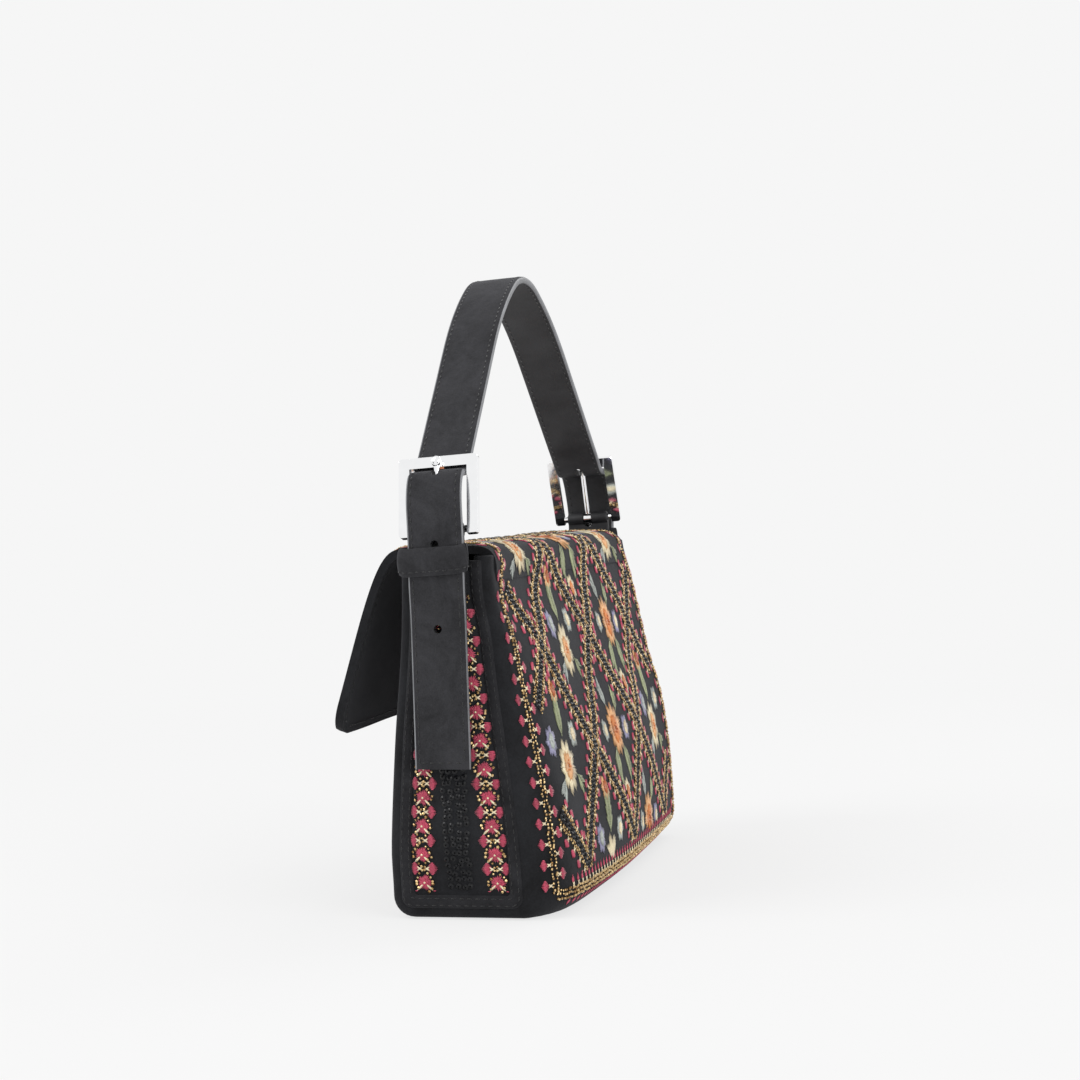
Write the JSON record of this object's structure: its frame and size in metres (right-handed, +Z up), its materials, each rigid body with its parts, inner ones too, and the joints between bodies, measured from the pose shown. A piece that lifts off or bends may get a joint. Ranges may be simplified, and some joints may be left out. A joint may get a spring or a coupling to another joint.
{
  "type": "baguette shoulder bag",
  "caption": "Black suede baguette shoulder bag with bead embroidery, a flap over the front, and one arched strap handle held by square metal buckles at both ends.",
  "frame": {"origin": "centre of the underside of the base, midway between the two end seams", "axes": "+X along the width towards the right gusset, +Y towards the back of the bag, +Z up"},
  "size_m": [0.2898, 0.0953, 0.2695],
  "materials": {
    "suede_black": "black suede with a short nap",
    "suede_strap": "charcoal suede, stitched near its edges",
    "leather_smooth": "smooth leather lining of the strap",
    "lining_cloth": "dark plain lining cloth",
    "board": "stiff grey brown board",
    "bright_metal": "polished plated metal",
    "zip_metal": "polished zip metal",
    "zip_cloth": "black woven zip tape"
  },
  "bodies": {
    "bag": {"back_panel": "suede_black", "front_panel": "suede_black", "base_panel": "suede_black", "gusset_right": "suede_black", "gusset_left": "suede_black", "binding_right": "suede_strap", "binding_left": "suede_strap", "lining": "lining_cloth", "mouth_facing": "suede_black", "base_board": "board", "zip_pocket": "lining_cloth", "zip_tape": "zip_cloth", "zip_teeth": "zip_metal", "snap_socket": "bright_metal", "chape_base_right": "suede_strap", "chape_base_left": "suede_strap", "keeper_right": "suede_strap", "keeper_left": "suede_strap", "strap_end_right": "suede_strap", "strap_end_left": "suede_strap"},
    "flap_top": {"flap_top_skin": "suede_black", "flap_top_lining": "suede_black"},
    "flap_drop": {"flap_drop_skin": "suede_black", "flap_drop_stiffener": "board", "flap_drop_lining": "suede_black", "snap_stud": "bright_metal"},
    "handle": {"handle_skin": "suede_strap", "handle_lining": "leather_smooth", "frame_right": "bright_metal", "frame_left": "bright_metal", "chape_right": "suede_strap", "chape_left": "suede_strap"},
    "prong_r": {"prong_right": "bright_metal"},
    "prong_l": {"prong_left": "bright_metal"},
    "slider": {"zip_slider": "zip_metal"},
    "pull": {"zip_pull": "zip_metal"}
  },
  "joints": [
    {"name": "handle_swing", "type": "hinge", "parent": "bag", "child": "handle", "pos_m": [0, 0, 0.158], "axis": [1, 0, 0], "range_deg": [-55, 10]},
    {"name": "flap_lift", "type": "hinge", "parent": "bag", "child": "flap_top", "pos_m": [0, 0.0191, 0.149], "axis": [-1, 0, 0], "range_deg": [0, 36]},
    {"name": "flap_fold", "type": "hinge", "parent": "flap_top", "child": "flap_drop", "pos_m": [0, -0.021, 0.149], "axis": [-1, 0, 0], "range_deg": [-16.7, 33]},
    {"name": "prong_play_right", "type": "hinge", "parent": "handle", "child": "prong_r", "pos_m": [0.13583, 0, 0.158], "axis": [0, 0.9981, 0.061], "range_deg": [0, 2]},
    {"name": "prong_play_left", "type": "hinge", "parent": "handle", "child": "prong_l", "pos_m": [-0.13583, 0, 0.158], "axis": [0, -0.9981, -0.061], "range_deg": [0, 2]},
    {"name": "zip_slide", "type": "slide", "parent": "bag", "child": "slider", "axis": [0.9998, -0.0179, 0], "range_m": [-0.107, 0]},
    {"name": "pull_swing", "type": "hinge", "parent": "slider", "child": "pull", "pos_m": [0.05346, 0.01228, 0.11756], "axis": [-0.9998, 0.0179, 0], "range_deg": [0, 80]}
  ]
}
